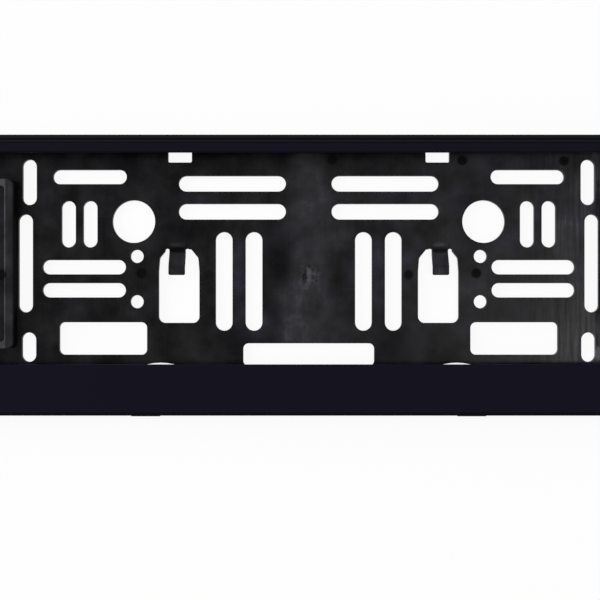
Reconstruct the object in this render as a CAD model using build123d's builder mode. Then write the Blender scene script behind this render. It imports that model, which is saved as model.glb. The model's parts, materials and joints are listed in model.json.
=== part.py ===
import os
from math import sqrt

from build123d import *

os.makedirs("parts", exist_ok=True)

# The holder stands upright, as it sits on the car: X runs along its length, Z is up and the back of
# both mouldings lies in the plane Y = 0. Depths are measured forward from that plane, towards -Y.

# Number plate that goes in, which is not part of the holder
plate_length = 520.0
plate_height = 110.0
plate_thickness = 1.0
plate_end_play = 4.0  # past each end of the plate
plate_top_play = 2.1  # above the plate
plate_slack = 0.2  # in front of the plate

# Frame that clips over the base plate
frame_wall = 2.0
face_thickness = 2.0
lip_width = 8.5  # band along the top and the two ends
strip_height = 24.5  # tall band along the bottom
plate_lap = 4.0  # how far the strip covers the plate
frame_corner = 6.0
opening_corner = 2.0
face_round = 1.0  # rounded outer edge of the face
opening_chamfer = 0.5
stop_thickness = 1.4  # ledge behind the strip that carries the plate
stop_depth = 4.0

# Two steps with a fine groove each along the top edge of the face
outer_step_width = 2.15
outer_step_drop = 0.9
inner_step_width = 3.9
inner_step_drop = 0.4
outer_groove_width = 0.7
inner_groove_width = 0.4
step_groove_depth = 0.5

# Base plate
floor_thickness = 2.0
base_clearance = 0.3  # all round, inside the frame's wall

# Raised end pads, which carry the ends of the number plate and are hollow from behind
pad_height = 9.4  # from the back plane to the front of the pad's rim
pad_inner_x = 142.5
pad_end_margin = 8.0  # from the end of the base plate
pad_top_z = 46.6
pad_bottom_z = -35.4
pad_corner = 3.0
pad_wall = 2.0
pad_edge_chamfer = 0.6
pad_rim_side = 4.4
pad_rim_end = 3.6
pad_recess_depth = 2.0
pad_recess_corner = 1.5
pad_rib_thickness = 1.4
pad_rib_columns = 2
pad_rib_rows = 1

# Slots for the screws, each repeated on the other side of the middle
slot_width = 7.0
corner_slot_x = 107.1
corner_slot_z = 48.3
corner_slot_length = 36.1
end_slot_gap = 0.5  # between the middle end slot and the pad
middle_end_slot_z = 6.0
middle_end_slot_length = 47.9
upper_end_slot_shift = 1.9  # inwards from the middle end slot
upper_end_slot_z = 45.7
upper_end_slot_length = 22.2
lower_end_slot_shift = 1.6
lower_end_slot_z = -35.0
lower_end_slot_length = 14.4
twin_slot_x = 112.2  # middle of the two upright slots side by side
twin_slot_spacing = 10.6
twin_slot_z = 25.2
twin_slot_length = 22.7
side_slot_x = 109.9
side_slot_z = -1.5  # middle of the two slots, one above the other
side_slot_spacing = 11.3
side_slot_length = 40.8
centre_slot_width = 7.65
centre_slot_x = 37.4
centre_slot_z = 38.15
centre_slot_spacing = 13.7
centre_slot_length = 52.4
tall_slot_width = 8.2
tall_slot_x = 34.1
tall_slot_spacing = 14.6
tall_slot_z = -2.8
tall_slot_length = 48.3

# Round holes
large_hole_x = 85.6
large_hole_z = 26.5
large_hole_radius = 10.45
small_hole_x = 84.0
small_hole_z = -1.65
small_hole_spacing = 22.2
small_hole_radius = 3.2

# Windows in the lower part of the floor
side_window_x = 100.6
side_window_z = -30.75
side_window_length = 42.95
side_window_height = 15.9
window_corner = 2.7
centre_window_length = 64.1
centre_window_top_z = -33.1
centre_window_bottom_z = -44.3
arch_x = 72.4
arch_top_z = -42.6
arch_radius = 28.3
arch_width = 25.0
arch_bottom_z = -53.0

# Spring tongues, which stand forward towards the number plate, and the windows they hang in
tongue_x = 64.3
tongue_width = 7.9
tongue_height = 5.2  # from the back plane to the front of the tip
tongue_thickness = 1.7
tongue_tip_z = 0.25
tongue_tip_round = 0.8  # corners of the free end
tongue_pad_length = 4.4  # flat end
tongue_bend = 3.0
root_ridge_height = 0.7
root_ridge_width = 3.0
root_groove_depth = 0.6
root_round = 0.5
spring_window_x = 63.45
spring_window_length = 19.9
spring_window_top_z = 12.9
spring_window_bottom_z = -23.1
spring_window_corner = 3.2
side_lean = 0.5  # the sides draw in a little towards the top
side_lean_height = 6.5
shoulder_run = 4.0  # the upper corners are cut back at a slant
shoulder_drop = 4.3
shoulder_round = 2.6
relief_width = 2.0  # notch on each side of the tongue's root
relief_rise = 0.3

# Hooks at the top: a ledge of the frame reaches behind the base plate above each hook window
hook_x = 63.0
hook_window_length = 11.6
hook_window_height = 6.9
hook_window_corner = 0.8
hook_bar = 2.7  # strip of the base plate above the window
hook_bar_thickness = 0.9
hook_thickness = 0.9
hook_side_clearance = 0.5
hook_lap_clearance = 0.3

# Catches at the bottom: a sprung leg of the base plate catches in the frame's lower wall
catch_x = 79.5
catch_width = 14.0
catch_leg = 1.6
catch_leg_depth = 6.2
catch_shoulder_depth = 3.0
catch_nose_flat = 0.8
catch_reach = 1.3  # how far the nose stands out below the frame
catch_window_clearance = 0.4

# Gate mark in the middle of the floor
gate_z = 1.3
gate_radius = 1.3
gate_height = 0.6

# Sizes that follow
frame_length = plate_length + 2 * (plate_end_play + frame_wall)
frame_height = frame_wall + plate_top_play + plate_height + strip_height - plate_lap
face_back = pad_height + plate_thickness + plate_slack
frame_depth = face_back + face_thickness
opening_length = frame_length - 2 * lip_width
opening_height = frame_height - lip_width - strip_height
opening_z = (strip_height - lip_width) / 2
strip_edge_z = strip_height - frame_height / 2
lip_edge_z = frame_height / 2 - lip_width
base_length = frame_length - 2 * (frame_wall + base_clearance)
middle_end_slot_x = pad_inner_x - end_slot_gap - slot_width / 2
upper_end_slot_x = middle_end_slot_x - upper_end_slot_shift
lower_end_slot_x = middle_end_slot_x - lower_end_slot_shift
base_height = frame_height - 2 * (frame_wall + base_clearance)
base_corner = frame_corner - frame_wall - base_clearance
pad_length = base_length / 2 - pad_end_margin - pad_inner_x
pad_x = pad_inner_x + pad_length / 2
pad_depth_z = pad_top_z - pad_bottom_z
pad_z = (pad_top_z + pad_bottom_z) / 2
hollow_length = pad_length - 2 * pad_wall
hollow_height = pad_depth_z - 2 * pad_wall
hollow_depth = pad_height - pad_recess_depth - pad_wall
hook_window_z = base_height / 2 - hook_bar - hook_window_height / 2
half_window = spring_window_length / 2
shoulder_z = spring_window_top_z - shoulder_drop
spring_window_outline = [
    (-half_window, spring_window_bottom_z),
    (half_window, spring_window_bottom_z),
    (half_window, shoulder_z - side_lean_height),
    (half_window - side_lean, shoulder_z),
    (half_window - shoulder_run, spring_window_top_z),
    (shoulder_run - half_window, spring_window_top_z),
    (side_lean - half_window, shoulder_z),
    (-half_window, shoulder_z - side_lean_height),
]
spring_window_rounding = (
    spring_window_corner,
    spring_window_corner,
    0,
    shoulder_round,
    relief_width / 2,
    relief_width / 2,
    shoulder_round,
    0,
)


def both_sides(x, z):
    """One place to the left and one to the right of the middle."""
    return [(-x, z), (x, z)]


def slots(x, z, length, width=slot_width, upright=False):
    """A slot with round ends on each side of the middle."""
    with Locations(*both_sides(x, z)):
        SlotOverall(length, width, rotation=90 if upright else 0)


def windows(x, z, length, height, corner):
    """A rectangle with rounded corners on each side of the middle."""
    with Locations(*both_sides(x, z)):
        RectangleRounded(length, height, corner)


def edges_at_depth(part, depth):
    """Edges that lie in one plane parallel to the back."""
    return part.edges().filter_by_position(Axis.Y, -depth, -depth)


with BuildPart() as base_plate:
    with BuildSketch(Plane.XZ):
        RectangleRounded(base_length, base_height, base_corner)
    extrude(amount=floor_thickness)

    # End pads, first the blocks and then their recessed middle
    with BuildSketch(Plane.XZ):
        windows(pad_x, pad_z, pad_length, pad_depth_z, pad_corner)
    extrude(amount=pad_height)
    with BuildSketch(Plane.XZ.offset(pad_height)):
        recess_length = pad_length - 2 * pad_rim_side
        recess_height = pad_depth_z - 2 * pad_rim_end
        windows(pad_x, pad_z, recess_length, recess_height, pad_recess_corner)
    extrude(amount=-pad_recess_depth, mode=Mode.SUBTRACT)
    chamfer(edges_at_depth(base_plate, pad_height), pad_edge_chamfer)

    # The pads are hollow from behind, with a grid of ribs left standing
    with BuildSketch(Plane.XZ):
        with Locations(*both_sides(pad_x, pad_z)):
            Rectangle(hollow_length, hollow_height)
        with Locations(*both_sides(pad_x, pad_z)):
            with GridLocations(hollow_length / (pad_rib_columns + 1), 0, pad_rib_columns, 1):
                Rectangle(pad_rib_thickness, hollow_height, mode=Mode.SUBTRACT)
            with GridLocations(0, hollow_height / (pad_rib_rows + 1), 1, pad_rib_rows):
                Rectangle(hollow_length, pad_rib_thickness, mode=Mode.SUBTRACT)
    extrude(amount=hollow_depth, mode=Mode.SUBTRACT)

    # Everything that is cut straight through the floor
    with BuildSketch(Plane.XZ):
        slots(corner_slot_x, corner_slot_z, corner_slot_length)
        slots(upper_end_slot_x, upper_end_slot_z, upper_end_slot_length, upright=True)
        slots(middle_end_slot_x, middle_end_slot_z, middle_end_slot_length, upright=True)
        slots(lower_end_slot_x, lower_end_slot_z, lower_end_slot_length, upright=True)
        for step in (-0.5, 0.5):
            slots(twin_slot_x + step * twin_slot_spacing, twin_slot_z, twin_slot_length, upright=True)
            slots(side_slot_x, side_slot_z + step * side_slot_spacing, side_slot_length)
            slots(
                centre_slot_x,
                centre_slot_z + step * centre_slot_spacing,
                centre_slot_length,
                centre_slot_width,
            )
            slots(
                tall_slot_x + step * tall_slot_spacing,
                tall_slot_z,
                tall_slot_length,
                tall_slot_width,
                upright=True,
            )
            with Locations(*both_sides(small_hole_x, small_hole_z + step * small_hole_spacing)):
                Circle(small_hole_radius)
        with Locations(*both_sides(large_hole_x, large_hole_z)):
            Circle(large_hole_radius)
        windows(side_window_x, side_window_z, side_window_length, side_window_height, window_corner)
        with Locations((0, (centre_window_top_z + centre_window_bottom_z) / 2)):
            RectangleRounded(
                centre_window_length, centre_window_top_z - centre_window_bottom_z, window_corner
            )
        windows(hook_x, hook_window_z, hook_window_length, hook_window_height, hook_window_corner)
        relief_z = spring_window_top_z + relief_rise - relief_width
        for side in (-1, 1):
            relief_x = tongue_x + side * (tongue_width + relief_width) / 2
            slots(relief_x, relief_z, 2 * relief_width, relief_width, upright=True)
            with BuildLine():
                FilletPolyline(
                    *[(side * spring_window_x + x, z) for x, z in spring_window_outline],
                    radius=spring_window_rounding,
                    close=True,
                )
            make_face()
    extrude(amount=floor_thickness, mode=Mode.SUBTRACT)

    # Windows with an arched top, half hidden by the strip
    arch_side_z = arch_top_z - arch_radius + sqrt(arch_radius**2 - (arch_width / 2) ** 2)
    with BuildSketch(Plane.XZ):
        for x in (-arch_x, arch_x):
            left = x - arch_width / 2
            right = x + arch_width / 2
            with BuildLine():
                ThreePointArc((left, arch_side_z), (x, arch_top_z), (right, arch_side_z))
                Polyline(
                    (right, arch_side_z), (right, arch_bottom_z), (left, arch_bottom_z), (left, arch_side_z)
                )
            make_face()
    extrude(amount=floor_thickness, mode=Mode.SUBTRACT)

    # The strip above each hook window is thinned from behind for the frame's ledge
    with BuildSketch(Plane.XZ):
        with Locations(*both_sides(hook_x, base_height / 2 - hook_bar / 2)):
            Rectangle(hook_window_length, hook_bar)
    extrude(amount=floor_thickness - hook_bar_thickness, mode=Mode.SUBTRACT)

    # Spring tongues: they leave the floor at the top of the window and bend forward to a flat end
    root_z = spring_window_top_z + relief_rise
    bend_z = tongue_tip_z + tongue_pad_length
    tongue_rounding = (0, root_round, root_round, tongue_bend, 0, 0, tongue_bend - tongue_thickness, 0, 0)
    for x in (-tongue_x, tongue_x):
        with BuildSketch(Plane.YZ.offset(x - tongue_width / 2)):
            with BuildLine():
                FilletPolyline(
                    (-floor_thickness, root_z + root_ridge_width),
                    (-floor_thickness - root_ridge_height, root_z + root_ridge_width / 2),
                    (-floor_thickness + root_groove_depth, root_z - root_ridge_width / 2),
                    (-tongue_height, bend_z),
                    (-tongue_height, tongue_tip_z),
                    (tongue_thickness - tongue_height, tongue_tip_z),
                    (tongue_thickness - tongue_height, bend_z - tongue_thickness / 4),
                    (0, root_z - root_ridge_width),
                    (0, root_z + root_ridge_width),
                    radius=tongue_rounding,
                    close=True,
                )
            make_face()
        extrude(amount=tongue_width)
    tip_edges = base_plate.edges().filter_by(Axis.Y).filter_by_position(Axis.Z, tongue_tip_z, tongue_tip_z)
    fillet(tip_edges, tongue_tip_round)

    # Catch legs along the lower edge
    leg_z = -base_height / 2
    nose_z = -frame_height / 2 - catch_reach
    for x in (-catch_x, catch_x):
        with BuildSketch(Plane.YZ.offset(x - catch_width / 2)):
            with BuildLine():
                Polyline(
                    (0, leg_z),
                    (-catch_shoulder_depth, leg_z),
                    (-catch_shoulder_depth, nose_z),
                    (-catch_shoulder_depth - catch_nose_flat, nose_z),
                    (-catch_leg_depth, leg_z),
                    (-catch_leg_depth, leg_z + catch_leg),
                    (0, leg_z + catch_leg),
                    close=True,
                )
            make_face()
        extrude(amount=catch_width)

    # Gate mark
    with BuildSketch(Plane.XZ.offset(floor_thickness)):
        with Locations((0, gate_z)):
            Circle(gate_radius)
    extrude(amount=gate_height)
base_plate.part.label = "base_plate"
export_step(base_plate.part, "parts/base_plate.step")


with BuildPart() as frame:
    with BuildSketch(Plane.XZ):
        RectangleRounded(frame_length, frame_height, frame_corner)
    extrude(amount=frame_depth)
    fillet(edges_at_depth(frame, frame_depth), face_round)

    # Pocket for the base plate and the number plate, open at the back
    with BuildSketch(Plane.XZ):
        RectangleRounded(
            frame_length - 2 * frame_wall, frame_height - 2 * frame_wall, frame_corner - frame_wall
        )
    extrude(amount=face_back, mode=Mode.SUBTRACT)

    # Opening that shows the number plate
    with BuildSketch(Plane.XZ):
        with Locations((0, opening_z)):
            RectangleRounded(opening_length, opening_height, opening_corner)
    extrude(amount=frame_depth, mode=Mode.SUBTRACT)
    opening_edges = edges_at_depth(frame, frame_depth).filter_by_position(
        Axis.X, -opening_length / 2, opening_length / 2
    )
    chamfer(opening_edges.filter_by_position(Axis.Z, strip_edge_z, lip_edge_z), opening_chamfer)

    # Stepped top edge
    step_length = frame_length - 2 * frame_corner
    for width, drop, groove_width in (
        (inner_step_width, inner_step_drop, inner_groove_width),
        (outer_step_width, outer_step_drop, outer_groove_width),
    ):
        with BuildSketch(Plane.XZ.offset(frame_depth)):
            with Locations((0, frame_height / 2 - width / 2)):
                Rectangle(step_length, width)
            with Locations((0, frame_height / 2 - width)):
                Rectangle(step_length, groove_width)
        extrude(amount=-drop, mode=Mode.SUBTRACT)
        with BuildSketch(Plane.XZ.offset(frame_depth - drop)):
            with Locations((0, frame_height / 2 - width)):
                Rectangle(step_length, groove_width)
        extrude(amount=-step_groove_depth, mode=Mode.SUBTRACT)

    # Ledge behind the strip, under the lower edge of the number plate
    with BuildSketch(Plane.XZ.offset(face_back)):
        with Locations((0, strip_edge_z - plate_lap - stop_thickness / 2)):
            Rectangle(plate_length, stop_thickness)
    extrude(amount=-stop_depth)

    # Hook ledges on the inside of the top wall
    hook_top_z = frame_height / 2 - frame_wall
    hook_height = base_clearance + hook_bar - hook_lap_clearance
    with BuildSketch(Plane.XZ):
        with Locations(*both_sides(hook_x, hook_top_z - hook_height / 2)):
            Rectangle(hook_window_length - 2 * hook_side_clearance, hook_height)
    extrude(amount=hook_thickness)

    # Windows in the lower wall for the catches
    with BuildSketch(Plane.XY.offset(-frame_height / 2)):
        with Locations(*both_sides(catch_x, -(catch_shoulder_depth + catch_leg_depth) / 2)):
            Rectangle(
                catch_width + 2 * catch_window_clearance,
                catch_leg_depth - catch_shoulder_depth + 2 * catch_window_clearance,
            )
    extrude(amount=frame_wall, mode=Mode.SUBTRACT)
frame.part.label = "frame"
export_step(frame.part, "parts/frame.step")
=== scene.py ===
import json
import math

import bmesh
import bpy
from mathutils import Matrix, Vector

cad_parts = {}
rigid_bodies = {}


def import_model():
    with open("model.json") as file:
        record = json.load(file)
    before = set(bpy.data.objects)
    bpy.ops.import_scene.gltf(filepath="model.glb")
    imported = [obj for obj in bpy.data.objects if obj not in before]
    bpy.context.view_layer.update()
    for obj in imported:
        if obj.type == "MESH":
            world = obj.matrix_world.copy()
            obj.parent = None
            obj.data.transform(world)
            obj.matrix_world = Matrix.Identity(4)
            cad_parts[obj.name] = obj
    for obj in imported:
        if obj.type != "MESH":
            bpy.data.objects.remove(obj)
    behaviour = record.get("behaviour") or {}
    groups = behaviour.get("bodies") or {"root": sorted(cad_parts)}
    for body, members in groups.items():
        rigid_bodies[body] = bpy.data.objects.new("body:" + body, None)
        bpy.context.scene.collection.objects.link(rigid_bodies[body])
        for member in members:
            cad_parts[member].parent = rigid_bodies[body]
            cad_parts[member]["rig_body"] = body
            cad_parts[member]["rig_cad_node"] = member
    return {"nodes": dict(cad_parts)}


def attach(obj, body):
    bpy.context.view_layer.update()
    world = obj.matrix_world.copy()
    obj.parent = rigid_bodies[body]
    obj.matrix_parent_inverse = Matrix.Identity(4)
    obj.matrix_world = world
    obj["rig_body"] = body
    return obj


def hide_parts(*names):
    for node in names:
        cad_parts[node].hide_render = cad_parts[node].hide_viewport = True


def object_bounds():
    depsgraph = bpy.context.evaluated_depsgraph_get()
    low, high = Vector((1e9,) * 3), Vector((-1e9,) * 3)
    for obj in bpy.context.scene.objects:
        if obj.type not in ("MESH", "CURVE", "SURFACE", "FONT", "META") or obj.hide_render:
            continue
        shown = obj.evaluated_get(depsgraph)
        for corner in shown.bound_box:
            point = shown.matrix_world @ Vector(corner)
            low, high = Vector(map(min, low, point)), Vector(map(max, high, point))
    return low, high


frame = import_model()
cadLow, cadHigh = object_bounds()  # the CAD box

mm = 0.001
upright = (math.radians(90), 0, 0)  # stands a primitive or the camera up, square on to the face
plainWhite = (1.0, 1.0, 1.0, 1.0)


def deselectAll():
    if bpy.context.object and bpy.context.object.mode != "OBJECT":
        bpy.ops.object.mode_set(mode="OBJECT")
    bpy.ops.object.select_all(action="DESELECT")


def pick(piece):
    deselectAll()
    piece.select_set(True)
    bpy.context.view_layer.objects.active = piece


def linear(hexColour):  # sRGB hex to the linear values that the nodes take
    values = []
    for start in (1, 3, 5):
        share = int(hexColour[start:start + 2], 16) / 255
        values.append(share / 12.92 if share <= 0.04045 else ((share + 0.055) / 1.055) ** 2.4)
    return (*values, 1.0)


def addNode(tree, kind, settings=None, links=None):  # a whole node among the links gives its first output
    node = tree.nodes.new(kind)
    for name, value in (settings or {}).items():
        if isinstance(name, int) or name in node.inputs:
            node.inputs[name].default_value = value
        else:
            setattr(node, name, value)
    for name, source in (links or {}).items():
        if isinstance(source, bpy.types.Node):
            source = source.outputs[0]
        tree.links.new(source, node.inputs[name])
    return node


def newMaterial(name):
    material = bpy.data.materials.new(name)
    material.use_nodes = True
    material.node_tree.nodes.clear()
    return material


meshWork = {
    "mergeWithin": 0.002 * mm,
    "flatWithin": math.radians(0.5),
    "sharpFrom": math.radians(35),  # edges sharper than this are rounded
    "roundSegments": 2,
    "smoothBelow": math.radians(50),
    "largeFaceWeight": 100,
}


def mergedCopy(nodeName, pieceName):  # a closed copy of a CAD node, ready for finer work
    pick(frame["nodes"][nodeName])
    bpy.ops.object.duplicate()
    piece = bpy.context.active_object
    piece.name = pieceName
    piece.data.name = pieceName
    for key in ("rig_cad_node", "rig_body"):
        del piece[key]
    piece.parent = None
    piece.data.materials.clear()
    bpy.ops.object.mode_set(mode="EDIT")
    bpy.ops.mesh.select_all(action="SELECT")
    bpy.ops.mesh.customdata_custom_splitnormals_clear()
    bpy.ops.mesh.remove_doubles(threshold=meshWork["mergeWithin"])
    bpy.ops.mesh.dissolve_limited(angle_limit=meshWork["flatWithin"])
    bpy.ops.object.mode_set(mode="OBJECT")
    return piece


def roundEdges(piece, width):
    pick(piece)
    bpy.ops.object.mode_set(mode="EDIT")
    bpy.ops.mesh.select_mode(type="EDGE")
    bpy.ops.mesh.select_all(action="DESELECT")
    shape = bmesh.from_edit_mesh(piece.data)
    for edge in shape.edges:
        if edge.is_manifold and edge.calc_face_angle(0.0) > meshWork["sharpFrom"]:
            edge.select_set(True)
    bmesh.update_edit_mesh(piece.data)
    bpy.ops.mesh.bevel(offset=width, segments=meshWork["roundSegments"], clamp_overlap=True)
    bpy.ops.object.mode_set(mode="OBJECT")


def shadeByArea(piece):  # large faces keep their flat look beside the rounded edges
    pick(piece)
    bpy.ops.object.shade_smooth_by_angle(angle=meshWork["smoothBelow"])
    weighting = piece.modifiers.new("faceWeights", "WEIGHTED_NORMAL")
    weighting.keep_sharp = True
    weighting.weight = meshWork["largeFaceWeight"]
    bpy.ops.object.modifier_apply(modifier=weighting.name)


def putPiece(piece, nodeName, material):
    piece.data.materials.clear()
    piece.data.materials.append(material)
    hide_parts(nodeName)
    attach(piece, "root")


# Base plate: the CAD moulding with the marks of its tool and softly broken edges
basePlateLook = {
    "edgeRound": 0.2 * mm,
    "markRadius": 2.25 * mm,  # ejector pins leave shallow round marks
    "markDepth": 0.15 * mm,
    "markSides": 32,
    "floorFront": -2.0 * mm,
    "padFront": -7.4 * mm,
    # places of the marks, x and z in mm
    "floorMarks": [(x, 0.3) for x in (-81.7, -49.5, 49.5, 81.7)]
    + [(x, 56.6) for x in (-124.9, -75.2, -11.3, 11.3, 75.2, 124.9)],
    "padMarks": [(-148.1, 0.3), (148.1, 0.3)],
}

print("base plate")
basePlate = mergedCopy("base_plate", "basePlate")
cutters = []
for front, marks in (("floorFront", "floorMarks"), ("padFront", "padMarks")):
    for x, z in basePlateLook[marks]:
        deselectAll()
        bpy.ops.mesh.primitive_cylinder_add(
            vertices=basePlateLook["markSides"],
            radius=basePlateLook["markRadius"],
            depth=2 * basePlateLook["markDepth"],  # half of it is in front of the surface
            location=(x * mm, basePlateLook[front], z * mm),
            rotation=upright,
        )
        cutters.append(bpy.context.active_object)
deselectAll()
for cutter in cutters:
    cutter.select_set(True)
bpy.context.view_layer.objects.active = cutters[0]
bpy.ops.object.join()
pins = bpy.context.active_object
pick(basePlate)
marking = basePlate.modifiers.new("pinMarks", "BOOLEAN")
marking.operation = "DIFFERENCE"
marking.solver = "EXACT"
marking.object = pins
bpy.ops.object.modifier_apply(modifier=marking.name)
bpy.data.objects.remove(pins)
roundEdges(basePlate, basePlateLook["edgeRound"])
shadeByArea(basePlate)

# Frame: the CAD moulding with softly broken edges
frameLook = {"edgeRound": 0.15 * mm}

print("frame")
coverFrame = mergedCopy("frame", "coverFrame")
roundEdges(coverFrame, frameLook["edgeRound"])
shadeByArea(coverFrame)


def makeStreakedPolypropylene():
    # Injection-moulded black polypropylene off a polished tool. The eye sees a matt to satin black in cloudy
    # patches, a paler band where the melt ran out from the gate, fine streaks along the flow towards one
    # end, and dull discs off the ejector pins. The pad rims are painted lighter as a painted highlight, the
    # dull side walls are painted darker as painted shade, and listed places are painted lighter or darker,
    # many as painted highlight, shade and sheen
    falling = {"To Min": 1.0, "To Max": 0.0}
    softly = {"interpolation_type": "SMOOTHSTEP"}
    look = {
        # greys from dark to pale, and the place of the plain surface on them
        "ramp": {0.0: "#020202", 0.15: "#0a0a0b", 0.3: "#131314", 0.45: "#1d1d1e", 0.6: "#262628",
                 0.75: "#303033", 1.0: "#4d4d50"},
        "plain": 0.42,
        # how far each feature moves the surface up or down the greys
        "tones": {"patches": 1.0, "streaks": 0.9, "band": 0.28, "discs": -0.75, "curls": 0.75,
                  "shadedDullWalls": -0.5, "rimHighlight": 0.36},
        "patches": {"Scale": 1 / (15 * mm), "Detail": 4.0, "Roughness": 0.6},
        "waver": {"Scale": 1 / (9 * mm), "Detail": 3.0},  # makes the outlines of the band and places uneven
        # streaks 1.5 mm wide and 26 mm long, stronger towards one end and faded on the pads
        "streakSize": {"Scale": (1 / (1.5 * mm), 0.0, 1 / (26 * mm))},
        "streaks": {"Scale": 1.0, "Detail": 2.0, "Roughness": 0.6},
        "streakZone": {"From Min": 95 * mm, "From Max": 150 * mm, "To Min": 0.15, "To Max": 1.2},
        "padFade": {"From Min": 150 * mm, "From Max": 175 * mm, "To Min": 1.0, "To Max": 0.15},
        # pale band, with half its width below and above the gate
        "bandCentre": 0.3 * mm,
        "bandWidth": {"From Min": -16 * mm, "From Max": 4 * mm, "To Min": 20 * mm, "To Max": 11 * mm,
                      **softly},
        "bandRaggedness": 0.5,
        "bandFade": {"From Min": 0.55, "From Max": 1.6, **falling, **softly},
        # the melt curled where it came in
        "gate": (0.1 * mm, 0.0, 0.8 * mm),
        "gateFade": {"From Min": 1 * mm, "From Max": 8 * mm, **falling, **softly},
        "curls": {"Scale": 1 / (1.9 * mm), "Detail": 0.0, "Distortion": 0.6},
        # dull discs off the ejector pins: x, z (mm), strength
        "discs": [(-148.1, 0.3, 1.0), (-82.0, 1.2, 0.6), (-48.9, 0.5, 0.2), (11.3, 56.9, 0.5),
                  (48.9, 0.5, 0.7), (75.1, 56.4, 1.0), (82.0, 1.2, 1.1), (124.8, 56.1, 1.0),
                  (148.1, 0.3, 1.0)],
        "discFade": {"From Min": 1.4 * mm, "From Max": 3.0 * mm, "To Max": 0.0, **softly},
        # walls painted darker as shade, by how little they face front, and only in front of the floor
        "wallFade": {"From Min": 0.25, "From Max": 0.6, **falling},
        "raised": {"From Min": -2.6 * mm, "From Max": -2.1 * mm, **falling},
        # pad rims, painted lighter as a painted highlight, less on the side near the middle of the holder
        "rim": {"From Min": -9.0 * mm, "From Max": -8.4 * mm, **falling},
        "rimHighlightShare": {"From Min": 145.9 * mm, "From Max": 146.4 * mm, "To Min": 0.5, "To Max": 1.3},
        # cooler patches, fewer on the band and the rims
        "cool": {"noise_dimensions": "4D", "Scale": 1 / (17 * mm), "Detail": 2.0, "W": 3.0},
        "coolShare": {"From Min": 0.48, "From Max": 0.66, "To Min": 0.1, "To Max": 0.9},
        "coolKept": {"To Min": 1.0, "To Max": 0.25},
        "tint": (0.84, 0.80, 1.0, 1.0),
        # pale streaks are a little smoother, walls and discs are rougher
        "sheen": {"From Min": -0.18, "From Max": 0.18, "To Min": 0.3, "To Max": 0.2},
        "wallDullness": 0.75,
        "discDullness": 0.3,
        "relief": {"Strength": 0.12, "Distance": 0.05 * mm},
        "plastic": {"IOR": 1.49, "Metallic": 0.0, "Specular IOR Level": 0.045},
        # lighter and darker places, many of them painted highlight, shade, shadow and sheen, each: at both
        # ends, x, z, half width, half height (mm), raggedness, tone
        "places": {
            # painted highlight on the tongues' ridges, painted shade at their roots and tips, painted light
            # on their slopes
            "tongueRidgeHighlight": (True, 64.3, 15.1, 4.4, 1.3, 0.0, 0.24),
            "tongueRootShade": (True, 64.3, 12.5, 4.4, 1.7, 0.0, -0.45),
            "tongueTipShade": (True, 64.3, 4.6, 4.2, 2.0, 0.0, -0.06),
            "litTongueSlope": (True, 64.3, 6.6, 5.2, 7.6, 0.0, 0.16),
            "barBetweenSlots": (True, 33.9, -2.0, 3.4, 26.0, 0.0, 0.2),
            "leftOfGate": (False, -15.0, 7.0, 7.5, 17.0, 0.5, -0.16),
            "rightOfGate": (False, 13.5, -5.0, 6.5, 17.0, 0.5, -0.2),
            # painted shadow under the top lip, and painted light under its right end where that shadow is
            # weaker
            "shadowUnderLip": (False, -46.0, 59.0, 125.0, 9.0, 0.2, -0.13),
            "litUnderLipEnd": (False, 108.0, 60.0, 42.0, 6.0, 0.2, 0.14),
            # painted highlight on the gate nub
            "gateNubHighlight": (False, 0.3, 1.1, 1.6, 2.8, 0.0, 0.36),
            "gateTail": (False, 0.4, -2.6, 1.4, 2.2, 0.0, 0.12),
            "gateFoot": (False, -1.1, -5.3, 1.4, 2.0, 0.0, 0.08),
            # painted shade beside the gate nub
            "gateNubShade": (False, -1.9, -0.6, 1.3, 2.6, 0.0, -0.3),
            "aboveTongue": (True, 57.0, 24.0, 13.0, 8.0, 0.3, -0.14),
            # painted sheen at the right end and on the pad corner, and a painted glint below the pad
            "endSheen": (False, 138.0, 11.0, 10.0, 30.0, 0.1, 0.13),
            "padCornerSheen": (False, 143.0, -27.0, 3.0, 11.0, 0.0, 0.34),
            "glintBelowPad": (False, 142.6, -38.4, 3.2, 3.2, 0.0, 0.5),
            "besideBand": (False, 17.0, 22.0, 10.0, 11.0, 0.4, 0.18),
            "belowTallSlots": (False, -24.0, -24.0, 8.0, 9.0, 0.3, 0.16),
            "belowSideSlots": (False, 108.0, -12.0, 34.0, 18.0, 0.3, -0.2),
            # painted sheen at the upper right corner
            "upperCornerSheen": (False, 141.0, 53.0, 10.0, 16.0, 0.2, 0.28),
            "aboveWindow": (False, -1.0, -30.5, 27.0, 4.5, 0.2, 0.06),
            # the next three are painted sheen: over the right half, and at the right end below and above
            "rightHalfSheen": (False, 92.0, 18.0, 90.0, 52.0, 0.2, 0.1),
            "lowerEndSheen": (False, 144.0, -35.0, 16.0, 15.0, 0.5, 0.3),
            "upperEndSheen": (False, 128.0, 36.0, 24.0, 24.0, 0.5, 0.1),
        },
        "placeFade": {"From Min": 0.45, "From Max": 1.3, **falling, **softly},
    }
    centreNoise = {"operation": "SUBTRACT", 1: 0.5}  # noise runs round 0.5
    larger, times, timesPlus = "MAXIMUM", "MULTIPLY", "MULTIPLY_ADD"

    material = newMaterial("streakedPolypropylene")
    tree = material.node_tree
    coordinates = addNode(tree, "ShaderNodeTexCoord")
    place = coordinates.outputs["Object"]
    spot = addNode(tree, "ShaderNodeSeparateXYZ", links={"Vector": place})
    across, depth, height = spot.outputs["X"], spot.outputs["Y"], spot.outputs["Z"]
    offCentre = addNode(tree, "ShaderNodeMath", {"operation": "ABSOLUTE"}, {0: across})
    oneEnd = addNode(tree, "ShaderNodeCombineXYZ", links={"X": across, "Z": height})
    eitherEnd = addNode(tree, "ShaderNodeCombineXYZ", links={"X": offCentre, "Z": height})

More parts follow.
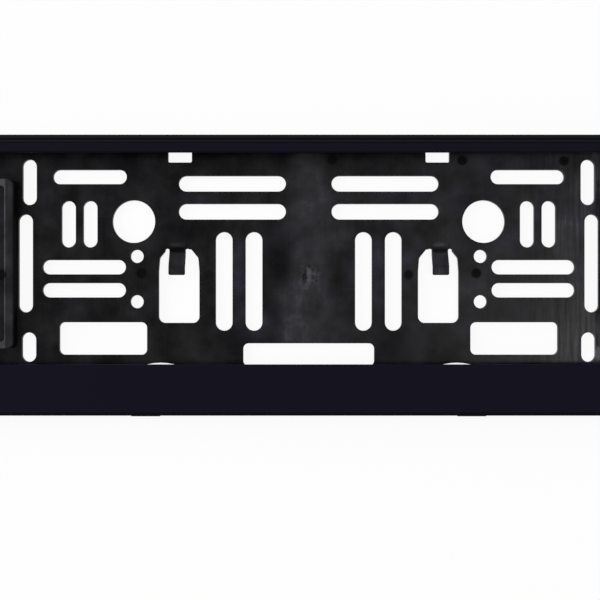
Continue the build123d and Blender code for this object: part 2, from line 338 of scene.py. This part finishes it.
    # Places, with uneven outlines
    waver = addNode(tree, "ShaderNodeTexNoise", look["waver"], {"Vector": place})
    places = {}
    for name, (atBothEnds, x, z, halfWidth, halfHeight, raggedness, tone) in look["places"].items():
        moved = addNode(tree, "ShaderNodeVectorMath", {"operation": "SUBTRACT", 1: (x * mm, 0.0, z * mm)},
                        {0: eitherEnd if atBothEnds else oneEnd})
        sized = addNode(tree, "ShaderNodeVectorMath",
                        {"operation": times, 1: (1 / (halfWidth * mm), 0.0, 1 / (halfHeight * mm))},
                        {0: moved})
        reach = addNode(tree, "ShaderNodeVectorMath", {"operation": "LENGTH"}, {0: sized})
        ragged = addNode(tree, "ShaderNodeMath", {"operation": timesPlus, 1: raggedness},
                         {0: waver, 2: reach.outputs["Value"]})
        places[name] = addNode(tree, "ShaderNodeMapRange", look["placeFade"], {"Value": ragged})

    # Patches and streaks
    patches = addNode(tree, "ShaderNodeTexNoise", look["patches"], {"Vector": place})
    evenPatches = addNode(tree, "ShaderNodeMath", centreNoise, {0: patches})
    stretched = addNode(tree, "ShaderNodeMapping", look["streakSize"], {"Vector": place})
    streaks = addNode(tree, "ShaderNodeTexNoise", look["streaks"], {"Vector": stretched})
    evenStreaks = addNode(tree, "ShaderNodeMath", centreNoise, {0: streaks})
    streakZone = addNode(tree, "ShaderNodeMapRange", look["streakZone"], {"Value": across})
    padFade = addNode(tree, "ShaderNodeMapRange", look["padFade"], {"Value": offCentre})
    floorShare = addNode(tree, "ShaderNodeMath", {"operation": times}, {0: streakZone, 1: padFade})
    streakShare = addNode(tree, "ShaderNodeMath", {"operation": larger},
                          {0: floorShare, 1: places["litTongueSlope"]})
    strongStreaks = addNode(tree, "ShaderNodeMath", {"operation": times}, {0: evenStreaks, 1: streakShare})

    # Pale band
    bandWidth = addNode(tree, "ShaderNodeMapRange", look["bandWidth"], {"Value": height})
    fromBand = addNode(tree, "ShaderNodeMath", {"operation": "SUBTRACT", 1: look["bandCentre"]}, {0: across})
    besideBand = addNode(tree, "ShaderNodeMath", {"operation": "ABSOLUTE"}, {0: fromBand})
    bandReach = addNode(tree, "ShaderNodeMath", {"operation": "DIVIDE"}, {0: besideBand, 1: bandWidth})
    raggedBand = addNode(tree, "ShaderNodeMath", {"operation": timesPlus, 1: look["bandRaggedness"]},
                         {0: waver, 2: bandReach})
    band = addNode(tree, "ShaderNodeMapRange", look["bandFade"], {"Value": raggedBand})

    # Curls round the gate
    gateReach = addNode(tree, "ShaderNodeVectorMath", {"operation": "DISTANCE", 1: look["gate"]}, {0: oneEnd})
    gateFade = addNode(tree, "ShaderNodeMapRange", look["gateFade"], {"Value": gateReach.outputs["Value"]})
    curl = addNode(tree, "ShaderNodeTexNoise", look["curls"], {"Vector": place})
    evenCurl = addNode(tree, "ShaderNodeMath", centreNoise, {0: curl})
    curls = addNode(tree, "ShaderNodeMath", {"operation": times}, {0: evenCurl, 1: gateFade})

    # Discs
    discs = None
    for x, z, strength in look["discs"]:
        reach = addNode(tree, "ShaderNodeVectorMath", {"operation": "DISTANCE", 1: (x * mm, 0.0, z * mm)},
                        {0: oneEnd})
        disc = addNode(tree, "ShaderNodeMapRange", {**look["discFade"], "To Min": strength},
                       {"Value": reach.outputs["Value"]})
        discs = addNode(tree, "ShaderNodeMath", {"operation": larger}, {0: discs, 1: disc}) if discs else disc

    # Walls painted darker as shade, and pad rims painted lighter as highlight
    facing = addNode(tree, "ShaderNodeSeparateXYZ", links={"Vector": coordinates.outputs["Normal"]})
    facingFront = addNode(tree, "ShaderNodeMath", {"operation": "ABSOLUTE"}, {0: facing.outputs["Y"]})
    wall = addNode(tree, "ShaderNodeMapRange", look["wallFade"], {"Value": facingFront})
    raised = addNode(tree, "ShaderNodeMapRange", look["raised"], {"Value": depth})
    shadedDullWalls = addNode(tree, "ShaderNodeMath", {"operation": times}, {0: wall, 1: raised})
    rim = addNode(tree, "ShaderNodeMapRange", look["rim"], {"Value": depth})
    rimHighlightShare = addNode(tree, "ShaderNodeMapRange", look["rimHighlightShare"], {"Value": offCentre})
    rimHighlight = addNode(tree, "ShaderNodeMath", {"operation": times}, {0: rim, 1: rimHighlightShare})

    # Grey level, then colour
    features = {"patches": evenPatches, "streaks": strongStreaks, "band": band, "discs": discs,
                "curls": curls, "shadedDullWalls": shadedDullWalls, "rimHighlight": rimHighlight}
    tones = [(features[name], tone) for name, tone in look["tones"].items()]
    tones += [(places[name], settings[-1]) for name, settings in look["places"].items()]
    level = None
    for feature, tone in tones:
        level = addNode(tree, "ShaderNodeMath", {"operation": timesPlus, 1: tone, 2: look["plain"]},
                        {0: feature, 2: level} if level else {0: feature})
    grey = addNode(tree, "ShaderNodeValToRGB", links={"Fac": level})
    stops = grey.color_ramp.elements
    while len(stops) < len(look["ramp"]):
        stops.new(0.5)
    for stop, (position, shade) in zip(stops, look["ramp"].items()):
        stop.position = position
        stop.color = linear(shade)
    cool = addNode(tree, "ShaderNodeTexNoise", look["cool"], {"Vector": place})
    coolShare = addNode(tree, "ShaderNodeMapRange", look["coolShare"], {"Value": cool})
    warm = addNode(tree, "ShaderNodeMath", {"operation": larger}, {0: band, 1: rim})
    coolKept = addNode(tree, "ShaderNodeMapRange", look["coolKept"], {"Value": warm})
    coolHere = addNode(tree, "ShaderNodeMath", {"operation": times}, {0: coolShare, 1: coolKept})
    coolOrBar = addNode(tree, "ShaderNodeMath", {"operation": larger},
                        {0: coolHere, 1: places["barBetweenSlots"]})
    tinted = addNode(tree, "ShaderNodeMix", {"data_type": "RGBA", "blend_type": "MULTIPLY", 7: look["tint"]},
                     {"Factor": coolOrBar, 6: grey})

    sheen = addNode(tree, "ShaderNodeMapRange", look["sheen"], {"Value": strongStreaks})
    dullWalls = addNode(tree, "ShaderNodeMath", {"operation": timesPlus, 1: look["wallDullness"]},
                        {0: shadedDullWalls, 2: sheen})
    roughness = addNode(tree, "ShaderNodeMath", {"operation": timesPlus, 1: look["discDullness"]},
                        {0: discs, 2: dullWalls})
    relief = addNode(tree, "ShaderNodeBump", look["relief"], {"Height": streaks})
    shader = addNode(tree, "ShaderNodeBsdfPrincipled", look["plastic"],
                     {"Base Color": tinted.outputs[2], "Roughness": roughness, "Normal": relief})
    addNode(tree, "ShaderNodeOutputMaterial", links={"Surface": shader})
    return material


def makeGrainedPolypropylene():
    # Injection-moulded black polypropylene off a spark-eroded tool. Its fine grain scatters the light, so the
    # eye sees one flat blue-black; the steps along the top are painted a little greyer as painted top light,
    # and their grooves and the under edge of the strip are painted darker as painted shade
    look = {
        "dark": "#11101b",
        "pale": "#13121d",
        "litSteps": "#19181e",
        "shaded": "#050507",
        "grain": {"Scale": 1 / (0.35 * mm), "Detail": 2.0},
        "clouds": {"Scale": 1 / (60 * mm), "Detail": 2.0},
        "steps": {"From Min": 62.9 * mm, "From Max": 64.0 * mm},  # painted top light above this height
        # in shade below this height
        "underEdge": {"From Min": -66.4 * mm, "From Max": -65.2 * mm, "To Min": 0.9, "To Max": 0.0},
        # grooves painted dark as shade: height, half width of the core, half width with its soft sides (mm),
        # strength
        "grooves": [(65.15, 0.25, 0.55, 0.75), (63.4, 0.1, 0.4, 0.4)],
        "relief": {"Strength": 0.3, "Distance": 0.02 * mm},
        "plastic": {"IOR": 1.49, "Metallic": 0.0, "Roughness": 0.68, "Specular IOR Level": 0.03},
    }
    mixColours = {"data_type": "RGBA"}

    material = newMaterial("grainedPolypropylene")
    tree = material.node_tree
    place = addNode(tree, "ShaderNodeTexCoord").outputs["Object"]
    height = addNode(tree, "ShaderNodeSeparateXYZ", links={"Vector": place}).outputs["Z"]
    grain = addNode(tree, "ShaderNodeTexNoise", look["grain"], {"Vector": place})
    clouds = addNode(tree, "ShaderNodeTexNoise", look["clouds"], {"Vector": place})
    colour = addNode(tree, "ShaderNodeMix", {**mixColours, 6: linear(look["dark"]), 7: linear(look["pale"])},
                     {"Factor": clouds})
    steps = addNode(tree, "ShaderNodeMapRange", look["steps"], {"Value": height})
    litSteps = addNode(tree, "ShaderNodeMix", {**mixColours, 7: linear(look["litSteps"])},
                     {"Factor": steps, 6: colour.outputs[2]})
    shade = addNode(tree, "ShaderNodeMapRange", look["underEdge"], {"Value": height})
    for middle, core, side, strength in look["grooves"]:
        away = addNode(tree, "ShaderNodeMath", {"operation": "SUBTRACT", 1: middle * mm}, {0: height})
        beside = addNode(tree, "ShaderNodeMath", {"operation": "ABSOLUTE"}, {0: away})
        groove = addNode(tree, "ShaderNodeMapRange",
                         {"From Min": core * mm, "From Max": side * mm, "To Min": strength, "To Max": 0.0},
                         {"Value": beside})
        shade = addNode(tree, "ShaderNodeMath", {"operation": "MAXIMUM"}, {0: shade, 1: groove})
    shaded = addNode(tree, "ShaderNodeMix", {**mixColours, 7: linear(look["shaded"])},
                     {"Factor": shade, 6: litSteps.outputs[2]})
    relief = addNode(tree, "ShaderNodeBump", look["relief"], {"Height": grain})
    shader = addNode(tree, "ShaderNodeBsdfPrincipled", look["plastic"],
                     {"Base Color": shaded.outputs[2], "Normal": relief})
    addNode(tree, "ShaderNodeOutputMaterial", links={"Surface": shader})
    return material


print("materials")
putPiece(basePlate, "base_plate", makeStreakedPolypropylene())
putPiece(coverFrame, "frame", makeGrainedPolypropylene())


def whiteRays(tree):  # 1 for rays that meet plain white: from the camera, or mirrored or bent on the way
    path = addNode(tree, "ShaderNodeLightPath")
    turned = addNode(tree, "ShaderNodeMath", {"operation": "ADD"},
                     {0: path.outputs["Is Glossy Ray"], 1: path.outputs["Is Transmission Ray"]})
    return addNode(tree, "ShaderNodeMath", {"operation": "ADD", "use_clamp": True},
                   {0: path.outputs["Is Camera Ray"], 1: turned})


# White sheet just behind the holder, which takes its shadow; it is clear from behind
sheetLook = {
    "colour": "#fafafa",
    "glow": 0.9,  # share of even white over the lit paper
    "gap": 0.5 * mm,
    "size": 8.0,
}

print("sheet")
deselectAll()
bpy.ops.mesh.primitive_plane_add(size=sheetLook["size"], location=(0, cadHigh.y + sheetLook["gap"], 0),
                                 rotation=upright)
sheet = bpy.context.active_object
sheet.name = "sheet"
paper = newMaterial("whitePaper")
tree = paper.node_tree
matt = addNode(tree, "ShaderNodeBsdfDiffuse", {"Color": linear(sheetLook["colour"])})
glow = addNode(tree, "ShaderNodeEmission", {"Color": plainWhite, "Strength": 1.0})
lit = addNode(tree, "ShaderNodeMixShader", {0: sheetLook["glow"]}, {1: matt, 2: glow})
clear = addNode(tree, "ShaderNodeBsdfTransparent")
side = addNode(tree, "ShaderNodeNewGeometry")
shown = addNode(tree, "ShaderNodeMath", {"operation": "SUBTRACT", "use_clamp": True},
                {0: whiteRays(tree), 1: side.outputs["Backfacing"]})
seen = addNode(tree, "ShaderNodeMixShader", links={0: shown, 1: clear, 2: lit})
addNode(tree, "ShaderNodeOutputMaterial", links={"Surface": seen})
sheet.data.materials.append(paper)

# Soft studio light: four square lamps that point at the holder's middle, in a grey surround seen as white
lights = {
    "keyLight": {"place": (0.85, -2.25, -0.2), "size": 0.45, "power": 12.0},
    "fillLight": {"place": (-2.6, -1.2, 0.3), "size": 1.4, "power": 60.0},
    "topLight": {"place": (0.0, -1.4, 2.6), "size": 1.6, "power": 13.0},
    "backLight": {"place": (-0.4, 1.6, 2.6), "size": 1.6, "power": 66.0},
}
surround = "#a8a8a8"

print("light")
for name, lamp in lights.items():
    deselectAll()
    bpy.ops.object.light_add(type="AREA", location=lamp["place"])
    light = bpy.context.active_object
    light.name = name
    light.data.shape = "SQUARE"
    light.data.size = lamp["size"]
    light.data.energy = lamp["power"]
    light.rotation_euler = (-Vector(lamp["place"])).to_track_quat("-Z", "Y").to_euler()

world = bpy.data.worlds.new("studio")
bpy.context.scene.world = world
world.use_nodes = True
tree = world.node_tree
tree.nodes.clear()
grey = addNode(tree, "ShaderNodeBackground", {"Color": linear(surround), "Strength": 1.0})
white = addNode(tree, "ShaderNodeBackground", {"Color": plainWhite, "Strength": 1.0})
mixed = addNode(tree, "ShaderNodeMixShader", links={0: whiteRays(tree), 1: grey, 2: white})
addNode(tree, "ShaderNodeOutputWorld", links={"Surface": mixed})

# Camera, square on to the face
cameraLook = {"place": (-4.28 * mm, -452.0 * mm, -11.9 * mm), "lens": 55.17, "sensorWidth": 36.0}

print("camera")
deselectAll()
bpy.ops.object.camera_add(location=cameraLook["place"], rotation=upright)
camera = bpy.context.active_object
camera.name = "camera"
camera.data.lens = cameraLook["lens"]
camera.data.sensor_width = cameraLook["sensorWidth"]
bpy.context.scene.camera = camera
bpy.context.scene.view_settings.view_transform = "Standard"
